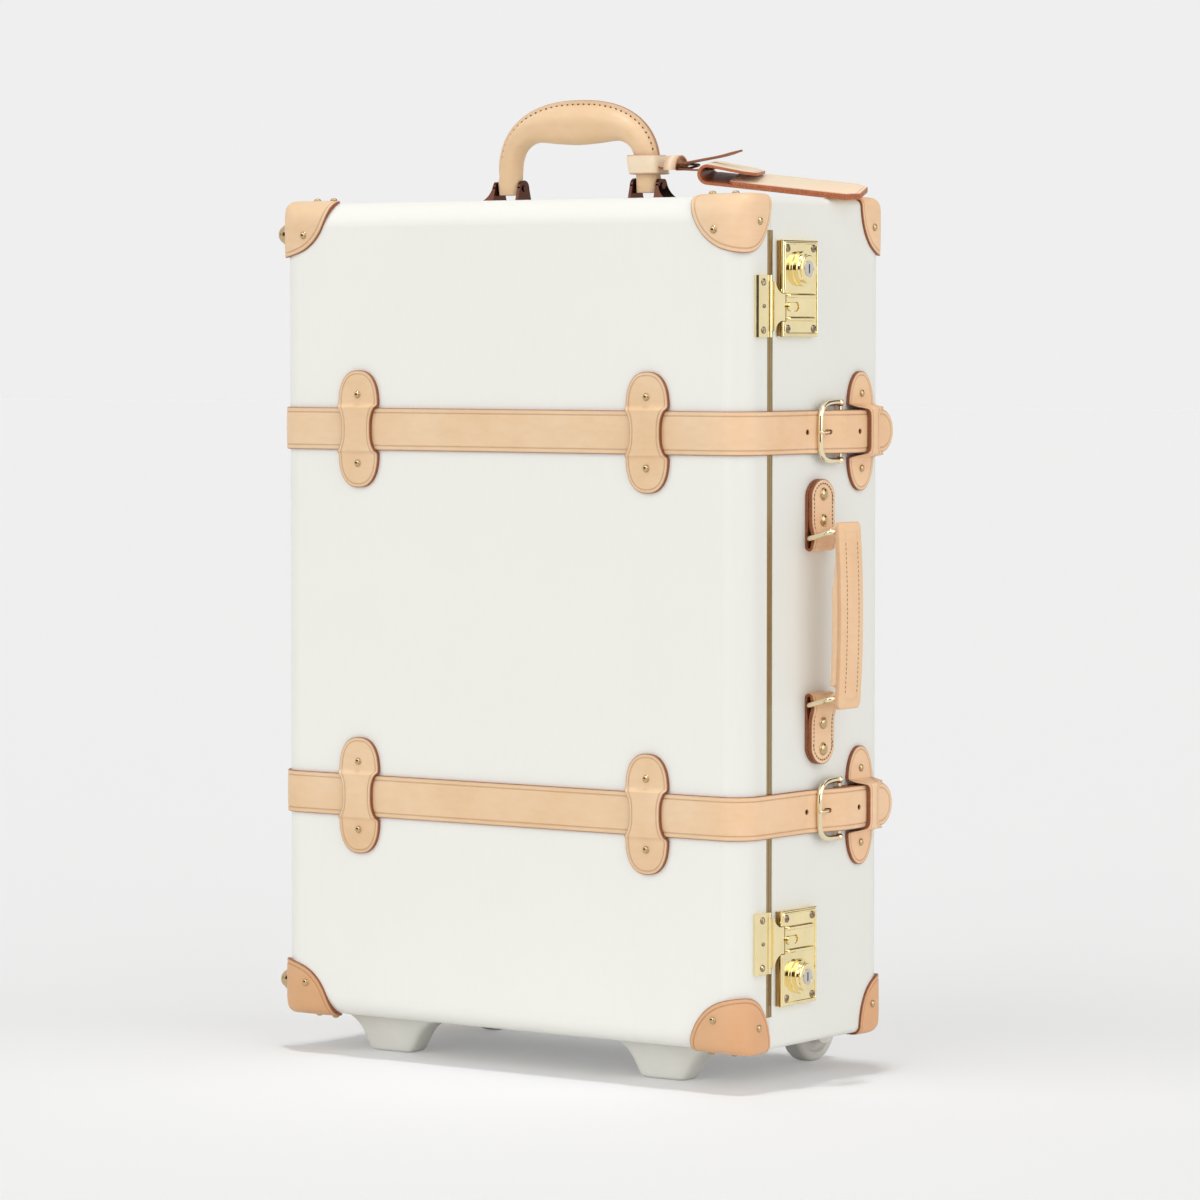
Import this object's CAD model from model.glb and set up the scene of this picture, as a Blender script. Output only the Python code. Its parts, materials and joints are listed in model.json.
"""Dress the upright travel case: cream board shells, tan leather, polished brass, feet and wheels."""

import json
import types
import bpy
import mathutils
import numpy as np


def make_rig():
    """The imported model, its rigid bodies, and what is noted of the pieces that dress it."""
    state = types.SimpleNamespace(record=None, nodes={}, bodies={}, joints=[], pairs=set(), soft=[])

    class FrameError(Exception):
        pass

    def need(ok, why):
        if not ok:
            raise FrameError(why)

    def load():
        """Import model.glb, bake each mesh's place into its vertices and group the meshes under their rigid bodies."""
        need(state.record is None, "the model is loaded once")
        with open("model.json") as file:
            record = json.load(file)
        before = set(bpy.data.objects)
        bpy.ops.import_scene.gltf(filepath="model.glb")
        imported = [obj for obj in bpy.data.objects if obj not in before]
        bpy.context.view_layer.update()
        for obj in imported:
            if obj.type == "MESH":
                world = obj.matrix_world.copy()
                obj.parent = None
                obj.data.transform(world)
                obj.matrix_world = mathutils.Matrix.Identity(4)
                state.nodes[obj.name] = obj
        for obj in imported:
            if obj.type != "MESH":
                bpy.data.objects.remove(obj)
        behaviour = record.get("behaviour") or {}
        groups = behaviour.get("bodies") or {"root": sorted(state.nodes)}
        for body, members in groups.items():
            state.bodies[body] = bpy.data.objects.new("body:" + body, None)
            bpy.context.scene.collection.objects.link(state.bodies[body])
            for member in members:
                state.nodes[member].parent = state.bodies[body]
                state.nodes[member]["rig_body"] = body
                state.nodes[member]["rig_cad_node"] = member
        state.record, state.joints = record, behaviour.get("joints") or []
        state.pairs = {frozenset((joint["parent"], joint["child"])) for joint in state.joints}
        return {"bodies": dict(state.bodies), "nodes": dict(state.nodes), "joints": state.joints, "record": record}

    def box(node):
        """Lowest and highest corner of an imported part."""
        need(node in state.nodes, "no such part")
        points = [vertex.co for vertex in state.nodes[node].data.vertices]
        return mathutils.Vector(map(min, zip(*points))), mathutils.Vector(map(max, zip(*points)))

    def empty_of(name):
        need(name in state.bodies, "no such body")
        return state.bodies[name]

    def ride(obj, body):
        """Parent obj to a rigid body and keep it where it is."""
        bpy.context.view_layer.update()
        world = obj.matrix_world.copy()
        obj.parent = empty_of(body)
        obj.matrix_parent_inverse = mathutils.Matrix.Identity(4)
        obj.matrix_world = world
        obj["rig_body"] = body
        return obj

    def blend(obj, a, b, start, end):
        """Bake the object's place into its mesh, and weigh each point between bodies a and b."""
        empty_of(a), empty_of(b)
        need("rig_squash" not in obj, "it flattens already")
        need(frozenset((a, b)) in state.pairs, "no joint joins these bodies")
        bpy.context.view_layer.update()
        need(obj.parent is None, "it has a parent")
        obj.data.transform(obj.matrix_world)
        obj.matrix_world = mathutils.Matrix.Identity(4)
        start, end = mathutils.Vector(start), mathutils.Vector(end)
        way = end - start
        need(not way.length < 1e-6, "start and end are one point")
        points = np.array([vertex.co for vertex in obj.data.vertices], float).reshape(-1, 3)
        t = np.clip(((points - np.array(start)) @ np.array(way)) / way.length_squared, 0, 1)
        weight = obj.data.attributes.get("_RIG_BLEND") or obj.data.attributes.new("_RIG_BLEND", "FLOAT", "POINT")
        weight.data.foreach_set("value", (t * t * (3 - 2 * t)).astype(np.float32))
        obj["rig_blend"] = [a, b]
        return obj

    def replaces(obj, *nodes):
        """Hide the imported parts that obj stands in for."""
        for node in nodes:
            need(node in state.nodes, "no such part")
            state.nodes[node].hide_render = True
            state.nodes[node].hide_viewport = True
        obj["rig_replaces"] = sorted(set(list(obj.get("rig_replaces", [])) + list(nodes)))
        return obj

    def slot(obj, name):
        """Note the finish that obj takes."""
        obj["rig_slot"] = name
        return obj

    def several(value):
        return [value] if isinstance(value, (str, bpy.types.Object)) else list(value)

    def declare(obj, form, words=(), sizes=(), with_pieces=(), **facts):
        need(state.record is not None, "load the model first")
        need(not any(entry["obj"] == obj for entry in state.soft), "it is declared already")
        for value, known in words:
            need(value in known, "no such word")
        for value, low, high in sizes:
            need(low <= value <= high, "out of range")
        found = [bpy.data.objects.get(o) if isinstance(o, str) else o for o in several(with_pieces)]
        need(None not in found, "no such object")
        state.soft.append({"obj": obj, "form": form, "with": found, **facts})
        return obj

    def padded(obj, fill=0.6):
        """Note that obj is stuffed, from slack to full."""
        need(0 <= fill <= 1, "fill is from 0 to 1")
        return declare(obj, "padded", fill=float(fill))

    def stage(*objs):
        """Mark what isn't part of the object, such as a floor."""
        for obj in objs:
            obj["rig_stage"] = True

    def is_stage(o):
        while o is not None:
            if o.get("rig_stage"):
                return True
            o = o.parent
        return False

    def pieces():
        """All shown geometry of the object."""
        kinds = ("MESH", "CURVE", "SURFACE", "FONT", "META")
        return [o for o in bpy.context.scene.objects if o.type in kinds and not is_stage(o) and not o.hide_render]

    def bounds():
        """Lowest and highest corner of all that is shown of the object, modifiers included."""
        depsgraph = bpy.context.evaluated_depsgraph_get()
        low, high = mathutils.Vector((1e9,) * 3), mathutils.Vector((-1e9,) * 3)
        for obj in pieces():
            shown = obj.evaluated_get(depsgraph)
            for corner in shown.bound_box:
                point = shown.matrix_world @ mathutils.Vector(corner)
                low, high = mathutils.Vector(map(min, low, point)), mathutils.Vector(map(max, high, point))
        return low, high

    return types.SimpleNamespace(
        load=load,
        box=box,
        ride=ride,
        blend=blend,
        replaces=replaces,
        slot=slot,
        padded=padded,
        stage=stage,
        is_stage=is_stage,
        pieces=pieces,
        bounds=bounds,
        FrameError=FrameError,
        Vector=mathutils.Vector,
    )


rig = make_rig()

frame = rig.load()
CAD_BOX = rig.bounds()

import json
import logging
import math
from dataclasses import dataclass, field
from enum import Enum
from typing import Callable, Optional, Sequence

import bmesh
import bpy
import numpy as np

log = logging.getLogger("travel_case")
Array = np.ndarray
Socket = bpy.types.NodeSocket
Colour = tuple[float, float, float]
Profile = Sequence[tuple[float, float]]
Move = Callable[[Array], Array]
Distance = Callable[[Array, Array], Array]
Place = Callable[[Array, Array, Array], Array]

# Case coordinates are millimetres: x right and y back from the case's middle, z up from its bottom
_low, _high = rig.box("base_shell")
CASE_ORIGIN = np.array([(_low.x + _high.x) / 2, _high.y - 0.093, _low.z])
SIDE, BACK, HEIGHT, MID = 210.0, 93.0, 610.0, 305.0
SEAM = -59.0
EDGE_RADIUS, SIDE_RADIUS = 18.0, 5.0
STRAP_Z = 441.8
HEEL_BAR = (214.0, 26.0)
GUIDE_X, SIDE_GUIDE_Y, GUIDE_RIVET = (-134.0, 128.5), 57.0, 25.5
SIDE_HANDLE_Y = 1.5
RIGHT, UP = (1, 0, 0), (0, 0, 1)
WHITE = (1.0, 1.0, 1.0)
STITCH = ((1.0, -0.5), (1.0, 0.02), (0.75, 0.13), (0.25, 0.17))


class Slot(str, Enum):
    """Material slots of the record."""

    SHELL = "cream_shell"
    FOOT = "cream_plastic"
    LEATHER = "tan_leather"
    BRASS = "polished_brass"
    STEEL = "steel"
    CLOTH = "lining_cloth"
    RUBBER = "wheel_rubber"
    DARK = "dark_plastic"
    ALLOY = "tube_alloy"


class Body(str, Enum):
    """Moving bodies that new pieces ride on."""

    BASE = "base"
    LID = "lid"
    TOP_HANDLE = "top_handle"
    TAG = "luggage_tag"
    SIDE_HANDLE = "side_handle"
    UPPER_RING = "upper_ring"
    LOWER_RING = "lower_ring"


# Materials

class Nodes:
    """Small builder for one material's node tree."""

    def __init__(self, name: str) -> None:
        """Start a material with a Principled shader."""
        self.material = bpy.data.materials.new(name)
        self.material.use_nodes = True
        self.tree = self.material.node_tree
        self.tree.nodes.clear()
        self.out = self.add("ShaderNodeOutputMaterial")
        self.shader = self.add("ShaderNodeBsdfPrincipled")
        self.feed(self.out.inputs[0], self.shader.outputs[0])
        self.coords = self.add("ShaderNodeTexCoord").outputs["Object"]

    def add(self, kind: str, inputs: Optional[dict[object, object]] = None,
            **settings: object) -> bpy.types.Node:
        """Add a node.

        Args:
            kind: its type.
            inputs: what feeds its sockets, by their names or numbers.
            settings: its properties.

        Returns:
            The node.
        """
        node = self.tree.nodes.new(kind)
        for key, value in settings.items():
            setattr(node, key, value)
        for key, value in (inputs or {}).items():
            self.feed(node.inputs[key], value)
        return node

    def feed(self, socket: Socket, value: object) -> None:
        """Link a socket to another one, or set it to a number, a vector or a colour."""
        if isinstance(value, bpy.types.NodeSocket):
            self.tree.links.new(value, socket)
        else:
            socket.default_value = (*value, 1.0) if socket.type == "RGBA" else value

    def noise(self, scale: float, detail: float = 3.0, stretch: Sequence[float] = (1, 1, 1)) -> Socket:
        """Return the factor of a noise on object coordinates.

        Args:
            scale: features per metre.
            detail: octaves.
            stretch: scale of each axis before the noise.

        Returns:
            The output socket.
        """
        mapping = self.add("ShaderNodeMapping", {"Vector": self.coords, "Scale": stretch})
        inputs = {"Vector": mapping.outputs[0], "Scale": scale, "Detail": detail}
        return self.add("ShaderNodeTexNoise", inputs).outputs["Fac"]

    def cells(self, scale: float) -> Socket:
        """Return the distance of a cell texture on object coordinates."""
        return self.add("ShaderNodeTexVoronoi", {"Vector": self.coords, "Scale": scale}).outputs["Distance"]

    def ramp(self, factor: Socket, stops: Sequence[tuple[float, Colour]]) -> Socket:
        """Return a colour ramp over a factor."""
        node = self.add("ShaderNodeValToRGB", {0: factor})
        elements = node.color_ramp.elements
        while len(elements) < len(stops):
            elements.new(0.5)
        for element, (place, colour) in zip(elements, stops):
            element.position = place
            element.color = (*colour, 1.0)
        return node.outputs[0]

    def mix(self, factor: object, first: object, second: object, blend: str = "MIX") -> Socket:
        """Return two colours mixed by a factor socket or a number."""
        inputs = {0: factor, 6: first, 7: second}
        return self.add("ShaderNodeMix", inputs, data_type="RGBA", blend_type=blend).outputs[2]

    def math(self, operation: str, first: object, second: object) -> Socket:
        """Return an operation on two sockets or numbers."""
        return self.add("ShaderNodeMath", {0: first, 1: second}, operation=operation).outputs[0]

    def bump(self, height: Socket, strength: float, distance: float) -> None:
        """Add a bump to the shader's normal, on top of any that is there."""
        node = self.add("ShaderNodeBump", {"Strength": strength, "Distance": distance, "Height": height})
        normal = self.shader.inputs["Normal"]
        if normal.is_linked:
            self.feed(node.inputs["Normal"], normal.links[0].from_socket)
        self.feed(normal, node.outputs[0])

    def set(self, **values: object) -> None:
        """Feed the shader's sockets; underscores stand for spaces."""
        for key, value in values.items():
            self.feed(self.shader.inputs[key.replace("_", " ")], value)


def shades(colour: Colour, *stops: tuple[float, float]) -> list[tuple[float, Colour]]:
    """Return the stops of a ramp, each given as its place and a factor on one colour."""
    return [(place, tuple(np.minimum(np.array(colour) * factor, 1))) for place, factor in stops]


@dataclass(frozen=True)
class CreamBoard:
    """Coated fibre board: soft cream with faint mottling and a fine laid grain."""

    colour: Colour = (0.84, 0.838, 0.785)
    roughness: float = 0.46
    name: str = "cream_board"

    def make(self) -> bpy.types.Material:
        """Return the material."""
        n = Nodes(self.name)
        patches = n.ramp(n.noise(5.0, 4.0), shades(self.colour, (0.3, 0.985), (0.7, 1.012)))
        laid = n.noise(420.0, 2.0, (1.0, 1.0, 0.10))
        grain = n.ramp(laid, shades(self.colour, (0.25, 0.985), (0.75, 1.005)))
        n.set(Base_Color=n.mix(0.45, patches, grain), Roughness=self.roughness, Specular_IOR_Level=0.42)
        n.bump(n.noise(700.0, 3.0), 0.10, 0.00025)
        n.bump(laid, 0.03, 0.0002)
        return n.material


@dataclass(frozen=True)
class TanLeather:
    """Natural tan leather: blushes, pores, raw edges; deeper near the floor, warmer on the right wall."""

    light: Colour = (0.83, 0.61, 0.395)
    deep: Colour = (0.76, 0.505, 0.28)
    raw: Colour = (0.25, 0.074, 0.024)
    worn: Colour = (0.61, 0.29, 0.115)
    worn_share: float = 0.66
    worn_heights: tuple[float, float] = (0.05, 0.19)
    right: Colour = (1.12, 1.05, 1.03)
    right_sides: tuple[float, float] = (0.165, 0.203)
    roughness: float = 0.44
    name: str = "tan_leather"

    def make(self) -> bpy.types.Material:
        """Return the material; the mesh attribute "edge" runs from grain (0) by raw edge (1) to burnt (2)."""
        n = Nodes(self.name)
        blush = n.ramp(n.noise(16.0, 5.0), [(0.3, self.deep), (0.62, self.light)])
        streak = n.ramp(n.noise(90.0, 4.0, (1.0, 1.0, 3.0)), [(0.3, self.deep), (0.7, self.light)])
        split = n.add("ShaderNodeSeparateXYZ", {0: n.coords})
        low = n.ramp(split.outputs["Z"], shades(WHITE, *zip(self.worn_heights, (self.worn_share, 0.0))))
        right = n.ramp(split.outputs["X"], shades(WHITE, *zip(self.right_sides, (0.0, 1.0))))
        pores = n.ramp(n.cells(1900.0), [(0.05, (0.86, 0.82, 0.78)), (0.25, WHITE)])
        skin = n.mix(low, n.mix(0.3, blush, streak), self.worn)
        skin = n.mix(right, skin, self.right, "MULTIPLY")
        skin = n.mix(0.5, skin, pores, "MULTIPLY")
        fibre = n.ramp(n.noise(900.0, 4.0), shades(self.raw, (0.3, 0.72), (0.75, 1.5)))
        burnt = n.ramp(n.noise(600.0, 3.0), [(0.3, (0.03, 0.014, 0.008)), (0.7, (0.06, 0.028, 0.014))])
        edge = n.add("ShaderNodeAttribute", attribute_name="edge").outputs["Fac"]
        tint = n.mix(n.math("SUBTRACT", edge, 1.0), n.mix(edge, skin, fibre), burnt)
        n.set(Base_Color=tint, Roughness=self.roughness, Specular_IOR_Level=0.45)
        n.bump(n.cells(1500.0), 0.12, 0.0003)
        n.bump(n.noise(160.0, 4.0), 0.10, 0.0006)
        return n.material


@dataclass(frozen=True)
class Metal:
    """Polished or satin metal with faint wiping marks."""

    name: str
    colour: Colour
    roughness: float
    marks: float = 0.05

    def make(self) -> bpy.types.Material:
        """Return the material."""
        n = Nodes(self.name)
        tone = n.ramp(n.noise(40.0, 4.0), shades(self.colour, (0.3, 0.93), (0.7, 1.04)))
        wipe = n.math("MULTIPLY", n.noise(300.0, 3.0, (1.0, 0.2, 1.0)), self.marks)
        n.set(Base_Color=tone, Metallic=1.0, Roughness=n.math("ADD", wipe, self.roughness - self.marks / 2))
        n.bump(n.noise(450.0, 2.0), 0.03, 0.0002)
        return n.material


@dataclass(frozen=True)
class Moulded:
    """Moulded plastic, rubber or waxed thread: a colour, a fine texture and its own gloss."""

    name: str
    colour: Colour
    roughness: float
    texture: float = 900.0
    depth: float = 0.1

    def make(self) -> bpy.types.Material:
        """Return the material."""
        n = Nodes(self.name)
        tone = n.ramp(n.noise(30.0, 4.0), shades(self.colour, (0.3, 0.95), (0.7, 1.03)))
        n.set(Base_Color=tone, Roughness=self.roughness, Specular_IOR_Level=0.4)
        n.bump(n.noise(self.texture, 3.0), self.depth, 0.0003)
        return n.material


@dataclass(frozen=True)
class WovenCloth:
    """Lining cloth: crossed threads from two wave patterns."""

    colour: Colour = (0.62, 0.54, 0.42)
    thread: float = 0.0009
    name: str = "lining_cloth"

    def make(self) -> bpy.types.Material:
        """Return the material."""
        n = Nodes(self.name)
        inputs = {"Vector": n.coords, "Scale": 0.314 / self.thread, "Distortion": 0.6}
        warp, weft = (n.add("ShaderNodeTexWave", inputs, bands_direction=axis) for axis in ("X", "Z"))
        weave = n.math("MULTIPLY", warp.outputs["Fac"], weft.outputs["Fac"])
        tone = n.ramp(weave, shades(self.colour, (0.0, 0.72), (0.8, 1.08)))
        n.set(Base_Color=tone, Roughness=0.9, Specular_IOR_Level=0.2)
        n.bump(weave, 0.35, 0.0004)
        return n.material


@dataclass
class Palette:
    """Every finish of the case: one per material slot, and special ones for single pieces."""

    made: dict[Slot, bpy.types.Material] = field(default_factory=dict)
    special: dict[str, bpy.types.Material] = field(default_factory=dict)

    def build(self) -> None:
        """Make the materials and put them on the CAD nodes."""
        finishes = {
            Slot.SHELL: CreamBoard(),
            Slot.FOOT: Moulded("cream_plastic", (0.79, 0.785, 0.725), 0.42, 600.0, 0.08),
            Slot.LEATHER: TanLeather(),
            Slot.BRASS: Metal("polished_brass", (0.95, 0.81, 0.47), 0.12),
            Slot.STEEL: Metal("turned_steel", (0.62, 0.61, 0.60), 0.24),
            Slot.CLOTH: WovenCloth(),
            Slot.RUBBER: Moulded("wheel_rubber", (0.72, 0.71, 0.66), 0.6, 500.0, 0.15),
            Slot.DARK: Moulded("dark_plastic", (0.028, 0.026, 0.024), 0.38),
            Slot.ALLOY: Metal("drawn_alloy", (0.80, 0.80, 0.81), 0.30),
        }
        self.made = {slot: finish.make() for slot, finish in finishes.items()}
        extra = [Metal("pale_gold", (0.89, 0.77, 0.53), 0.11),
                 Metal("aged_brass", (0.57, 0.42, 0.23), 0.12),
                 Metal("dark_gold", (0.40, 0.24, 0.075), 0.2),
                 Metal("dark_bronze", (0.10, 0.042, 0.028), 0.1),
                 Metal("satin_strip", (0.38, 0.27, 0.13), 0.26),
                 Metal("bright_steel", (0.66, 0.64, 0.60), 0.2),
                 Metal("screw_brass", (0.33, 0.255, 0.18), 0.12),
                 Moulded("waxed_thread", (0.075, 0.04, 0.02), 0.55),
                 TanLeather((0.86, 0.66, 0.44), (0.80, 0.58, 0.37), name="pale_leather"),
                 TanLeather((0.89, 0.74, 0.55), (0.84, 0.67, 0.46), (0.40, 0.12, 0.045), name="tag_leather")]
        self.special = {finish.name: finish.make() for finish in extra}
        chosen = {"base_rim": "satin_strip", "lid_rim": "satin_strip", "handle_brackets": "dark_bronze"}
        for level in LEVELS:
            chosen |= {f"{level}_{n}": "pale_gold" for n in ("buckle", "buckle_tongue", "handle_ring")}
            chosen[f"{level}_key_plug"] = "bright_steel"
        for entry in frame["record"]["subparts"]:
            node = entry["node"]
            mesh = frame["nodes"][node].data
            mesh.materials.clear()
            mesh.materials.append(self.special[chosen[node]] if node in chosen
                                  else self.made[Slot(entry["material_slot"])])


PALETTE = Palette()


# Studio

def to_row(points: Array) -> Array:
    """Turn case millimetres into the frame's metres."""
    return np.asarray(points, float) / 1000 + CASE_ORIGIN


def to_vector(values: Array) -> "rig.Vector":
    """Return a mathutils vector."""
    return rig.Vector([float(v) for v in values])


def add_object(name: str, data: bpy.types.ID) -> bpy.types.Object:
    """Add an object to the scene."""
    thing = bpy.data.objects.new(name, data)
    bpy.context.scene.collection.objects.link(thing)
    return thing


def background_rays(tree: bpy.types.NodeTree) -> Socket:
    """Return 1 for the rays that show the background: the camera's, and those off metal and through glass."""
    path = tree.nodes.new("ShaderNodeLightPath")
    seen = path.outputs["Is Camera Ray"]
    for name in ("Is Glossy Ray", "Is Transmission Ray"):
        either = tree.nodes.new("ShaderNodeMath")
        either.operation = "MAXIMUM"
        tree.links.new(seen, either.inputs[0])
        tree.links.new(path.outputs[name], either.inputs[1])
        seen = either.outputs[0]
    return seen


@dataclass
class Studio:
    """Pale floor and backdrop, even surrounding light, lamps, dark screens and the photograph's camera."""

    floor_colour: Colour = (0.855, 0.855, 0.855)
    floor_reach: float = 30.0
    glow_share: float = 0.25
    glow_grey: float = 0.84
    backdrop: float = 0.863
    surround: float = 0.30
    surround_colour: Colour = (1.0, 0.995, 0.985)
    screen_colour: Colour = (0.06, 0.05, 0.045)
    screen_distance: float = 5.0
    screen_parts: int = 12
    lens: float = 154.4
    sensor: float = 36.0
    eye: tuple[float, float, float] = (2244.0, -3104.8, 512.0)
    target: tuple[float, float, float] = (19.13, 0.0, 314.87)

    def build(self) -> None:
        """Make the floor, world, lamps, camera and screens."""
        self.floor()
        self.world()
        self.lamp("top_light", (0.0, -0.02, 1.0), 1.12, 3.0)
        self.lamp("key_light", (-0.30, -0.88, 0.36), 1.5, 75.0)
        self.lamp("fill_light", (0.88, -0.10, 0.38), 1.35, 75.0)
        self.camera()
        self.screens()

    def screens(self) -> None:
        """Stand up a studio's dark side: screens in front and overhead, which only polished surfaces see."""
        n = Nodes("dark_cloth")
        n.set(Base_Color=self.screen_colour, Roughness=1.0, Specular_IOR_Level=0.0)
        step = self.screen_parts + 1
        for name, first, last, low, tall in (("right_screen", -32.0, -80.0, 0.0, 2.4),
                                             ("left_screen", -100.0, -150.0, 0.0, 2.4),
                                             ("high_screen", 30.0, 120.0, 2.2, 2.6)):
            turn = np.radians(np.linspace(first, last, step))
            foot = grid(self.screen_distance * np.cos(turn), self.screen_distance * np.sin(turn), low)
            mesh = bpy.data.meshes.new(name)
            mesh.from_pydata(np.concatenate([foot, foot + [0, 0, tall]]).tolist(), [],
                             [(i, i + 1, i + 1 + step, i + step) for i in range(self.screen_parts)])
            mesh.materials.append(n.material)
            screen = add_object(name, mesh)
            screen.visible_camera = screen.visible_diffuse = False
            screen.visible_shadow = screen.visible_transmission = False
            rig.stage(screen)

    def floor(self) -> None:
        """Make a wide plain floor at the lowest point; part of its paleness shows only as background."""
        mesh = bpy.data.meshes.new("floor")
        r = self.floor_reach
        mesh.from_pydata([(-r, -r, 0), (r, -r, 0), (r, r, 0), (-r, r, 0)], [], [(0, 1, 2, 3)])
        n = Nodes("floor_paper")
        n.set(Base_Color=self.floor_colour, Roughness=0.9, Specular_IOR_Level=0.1)
        glow = n.add("ShaderNodeEmission", {"Color": (self.glow_grey,) * 3})
        share = n.math("MULTIPLY", background_rays(n.tree), self.glow_share)
        both = n.add("ShaderNodeMixShader", {0: share, 1: n.shader.outputs[0], 2: glow.outputs[0]})
        n.feed(n.out.inputs["Surface"], both.outputs[0])
        mesh.materials.append(n.material)
        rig.stage(add_object("floor", mesh))

    def world(self) -> None:
        """Light evenly from all round, and show the backdrop's grey to the camera, metal and glass."""
        world = bpy.data.worlds.new("studio")
        bpy.context.scene.world = world
        world.use_nodes = True
        tree = world.node_tree
        tree.nodes.clear()
        out, mix = (tree.nodes.new(kind) for kind in ("ShaderNodeOutputWorld", "ShaderNodeMixShader"))
        tree.links.new(background_rays(tree), mix.inputs[0])
        shown = ((1, self.surround_colour, self.surround), (2, (self.backdrop,) * 3, 1.0))
        for place, colour, strength in shown:
            light = tree.nodes.new("ShaderNodeBackground")
            light.inputs[0].default_value = (*colour, 1.0)
            light.inputs[1].default_value = strength
            tree.links.new(light.outputs[0], mix.inputs[place])
        tree.links.new(mix.outputs[0], out.inputs[0])

    def lamp(self, name: str, source: Sequence[float], strength: float, spread: float) -> None:
        """Add one soft far lamp, which lights the floor evenly.

        Args:
            name: object name.
            source: direction that the light comes from.
            strength: light on a surface that faces it.
            spread: angle of the soft disc, in degrees.
        """
        data = bpy.data.lights.new(name, "SUN")
        data.energy, data.angle = strength, math.radians(spread)
        turn = (-to_vector(np.array(source))).to_track_quat("-Z", "Y")
        add_object(name, data).rotation_euler = turn.to_euler()

    def camera(self) -> None:
        """Set the camera from the fit to the photograph."""
        data = bpy.data.cameras.new("camera")
        data.lens, data.sensor_width = self.lens, self.sensor
        data.clip_end = 100.0
        camera = add_object("camera", data)
        camera.location = to_row(np.array(self.eye))
        aim = to_row(np.array(self.target)) - np.array(camera.location)
        camera.rotation_euler = to_vector(aim).to_track_quat("-Z", "Y").to_euler()
        bpy.context.scene.camera = camera
        bpy.context.scene.view_settings.view_transform = "Standard"


# Meshes

def grid(*axes: object) -> Array:
    """Return points from coordinates that are broadcast together."""
    return np.stack(np.broadcast_arrays(*axes), -1)


def circle(count: int) -> Array:
    """Return even angles once round."""
    return np.linspace(0, 2 * math.pi, count, endpoint=False)


def superellipse(turn: Array, power: float) -> tuple[Array, Array]:
    """Return both coordinates of a unit superellipse: signed powers of the cosine and the sine."""
    c, d = (np.sign(f) * np.abs(f) ** power for f in (np.cos(turn), np.sin(turn)))
    return c, d


def smooth(t: Array) -> Array:
    """Ease from 0 to 1."""
    t = np.clip(t, 0, 1)
    return t * t * (3 - 2 * t)


def unit(v: Array) -> Array:
    """Return vectors at length 1."""
    return v / np.linalg.norm(v, axis=-1, keepdims=True)


def heading(line: Array) -> Array:
    """Return the direction of a line at each of its points."""
    return unit(np.gradient(line, axis=0))


def right_of(line: Array) -> Array:
    """Return the direction to the right of a flat line at each of its points."""
    step = heading(line)
    return grid(step[:, 1], -step[:, 0])


def length(line: Array) -> Array:
    """Return the running length of a line of points."""
    return np.concatenate([[0], np.cumsum(np.linalg.norm(np.diff(line, axis=0), axis=1))])


def evenly(line: Array, count: int, closed: bool) -> Array:
    """Return points at even distances along a dense line."""
    along = length(line)
    even = np.linspace(0, along[-1], count, endpoint=not closed)
    return grid(*(np.interp(even, along, column) for column in line.T))


def through(knots: Array, values: Array, at: Array) -> Array:
    """Return a smooth curve through values at knots, by cubic pieces with slopes from the neighbours."""
    values = np.asarray(values, float).reshape(len(knots), -1)
    slope = np.gradient(values, knots, axis=0)
    i = np.clip(np.searchsorted(knots, at, "right") - 1, 0, len(knots) - 2)
    step = (knots[i + 1] - knots[i])[:, None]
    t = (at[:, None] - knots[i][:, None]) / step
    return ((2 * t ** 3 - 3 * t ** 2 + 1) * values[i] + (t ** 3 - 2 * t ** 2 + t) * step * slope[i]
            + (3 * t ** 2 - 2 * t ** 3) * values[i + 1] + (t ** 3 - t ** 2) * step * slope[i + 1])


def halve(holds: Move, low: Array, high: Array, rounds: int) -> Array:
    """Return, by halving, the largest values from low to high at which a test still holds."""
    for _ in range(rounds):
        mid = (low + high) / 2
        inside = holds(mid)
        low, high = np.where(inside, mid, low), np.where(inside, high, mid)
    return low


def same(p: Array) -> Array:
    """Leave points where they are."""
    return p


def mirror_x(p: Array) -> Array:
    """Mirror to the case's other side."""
    return p * np.array([-1.0, 1, 1])


def mirror_y(p: Array) -> Array:
    """Mirror to the case's other face."""
    return p * np.array([1.0, -1, 1])


def mirror_z(p: Array) -> Array:
    """Mirror top and bottom."""
    return p * np.array([1.0, 1, -1]) + np.array([0, 0, HEIGHT])


LEVELS: dict[str, Move] = {"upper": same, "lower": mirror_z}


def quads(rows: int, cols: int, ring: bool) -> Array:
    """Return the faces of a grid that closes across its columns, and along its rows where it is a ring."""
    r, c = np.meshgrid(np.arange(rows if ring else rows - 1), np.arange(cols), indexing="ij")
    n, d = (c + 1) % cols, (r + 1) % rows
    return np.stack([r * cols + c, r * cols + n, d * cols + n, d * cols + c], -1).reshape(-1, 4)


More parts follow.
